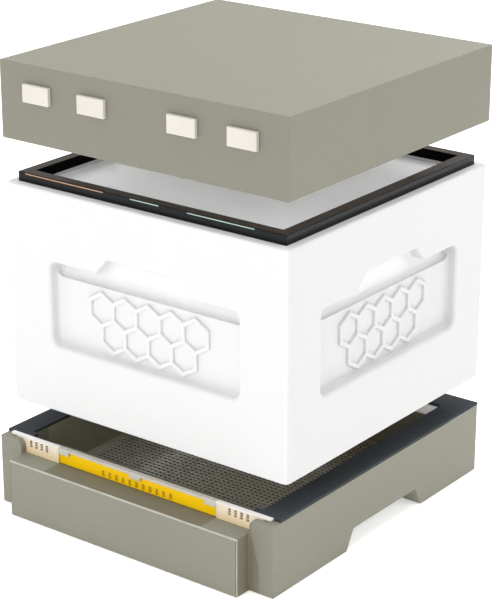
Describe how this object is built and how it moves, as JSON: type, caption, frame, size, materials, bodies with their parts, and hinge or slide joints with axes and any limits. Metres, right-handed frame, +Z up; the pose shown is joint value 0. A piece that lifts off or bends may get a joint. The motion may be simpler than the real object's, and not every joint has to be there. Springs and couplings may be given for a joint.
{
  "type": "beehive",
  "caption": "Foam beehive with its roof, hive body and screened floor lifted apart; holds frames, an inner cover, a sliding entrance gate, an inspection tray and pull-out vent plugs.",
  "frame": {"origin": "centre of the whole footprint (landing block front to tray pull back), on the ground", "axes": "+Z up, -Y towards the bees' entrance, +X to the right of someone facing the entrance"},
  "size_m": [0.5, 0.562, 0.667],
  "materials": {
    "foam_grey": "painted closed-cell foam, fine bead texture",
    "foam_white": "bare closed-cell foam, fine bead texture",
    "band_anthracite": "satin moulded edge band",
    "rim_black": "glossy moulded rim",
    "screen_plastic": "satin",
    "screw_steel": "zinc plated",
    "tray_plastic": "satin sheet",
    "plate_cream": "satin",
    "rail_clear": "milky translucent",
    "gate_yellow": "satin gloss",
    "plug_white": "satin gloss",
    "rest_plastic": "satin",
    "frame_wood": "planed limewood",
    "beeswax": "embossed wax sheet",
    "cover_grey": "smooth sheet"
  },
  "bodies": {
    "floor": {"floor_box": "foam_grey", "floor_top_band": "band_anthracite", "screen_frame": "screen_plastic", "screen_ribs_long": "screen_plastic", "screen_ribs_cross": "screen_plastic", "screen_screws": "screw_steel", "entrance_plate_left": "plate_cream", "entrance_plate_right": "plate_cream", "gate_guide_rail": "rail_clear"},
    "gate": {"entrance_gate": "gate_yellow"},
    "tray": {"inspection_tray": "tray_plastic", "tray_pull": "tray_plastic"},
    "hive_body": {"body_shell": "foam_white", "top_rim": "rim_black", "frame_rest_front": "rest_plastic", "frame_rest_back": "rest_plastic", "frame_top_bars": "frame_wood", "frame_side_bars": "frame_wood", "frame_bottom_bars": "frame_wood", "foundation_sheets": "beeswax"},
    "cover": {"inner_cover": "cover_grey"},
    "roof": {"roof_shell": "foam_grey"},
    "plug_1": {"vent_plug_1": "plug_white"},
    "plug_2": {"vent_plug_2": "plug_white"},
    "plug_3": {"vent_plug_3": "plug_white"},
    "plug_4": {"vent_plug_4": "plug_white"}
  },
  "joints": [
    {"name": "body_lift", "type": "slide", "parent": "floor", "child": "hive_body", "axis": [0, 0, 1], "range_m": [-0.0446, 0.1]},
    {"name": "roof_lift", "type": "slide", "parent": "hive_body", "child": "roof", "axis": [0, 0, 1], "range_m": [-0.0636, 0.1]},
    {"name": "cover_lift", "type": "slide", "parent": "hive_body", "child": "cover", "axis": [0, 0, 1], "range_m": [0, 0.05]},
    {"name": "gate_slide", "type": "slide", "parent": "floor", "child": "gate", "axis": [1, 0, 0], "range_m": [-0.055, 0.055]},
    {"name": "tray_slide", "type": "slide", "parent": "floor", "child": "tray", "axis": [0, 1, 0], "range_m": [0, 0.4]},
    {"name": "plug_1_pull", "type": "slide", "parent": "roof", "child": "plug_1", "axis": [0, -1, 0], "range_m": [0, 0.05]},
    {"name": "plug_2_pull", "type": "slide", "parent": "roof", "child": "plug_2", "axis": [0, -1, 0], "range_m": [0, 0.05]},
    {"name": "plug_3_pull", "type": "slide", "parent": "roof", "child": "plug_3", "axis": [0, -1, 0], "range_m": [0, 0.05]},
    {"name": "plug_4_pull", "type": "slide", "parent": "roof", "child": "plug_4", "axis": [0, -1, 0], "range_m": [0, 0.05]}
  ]
}
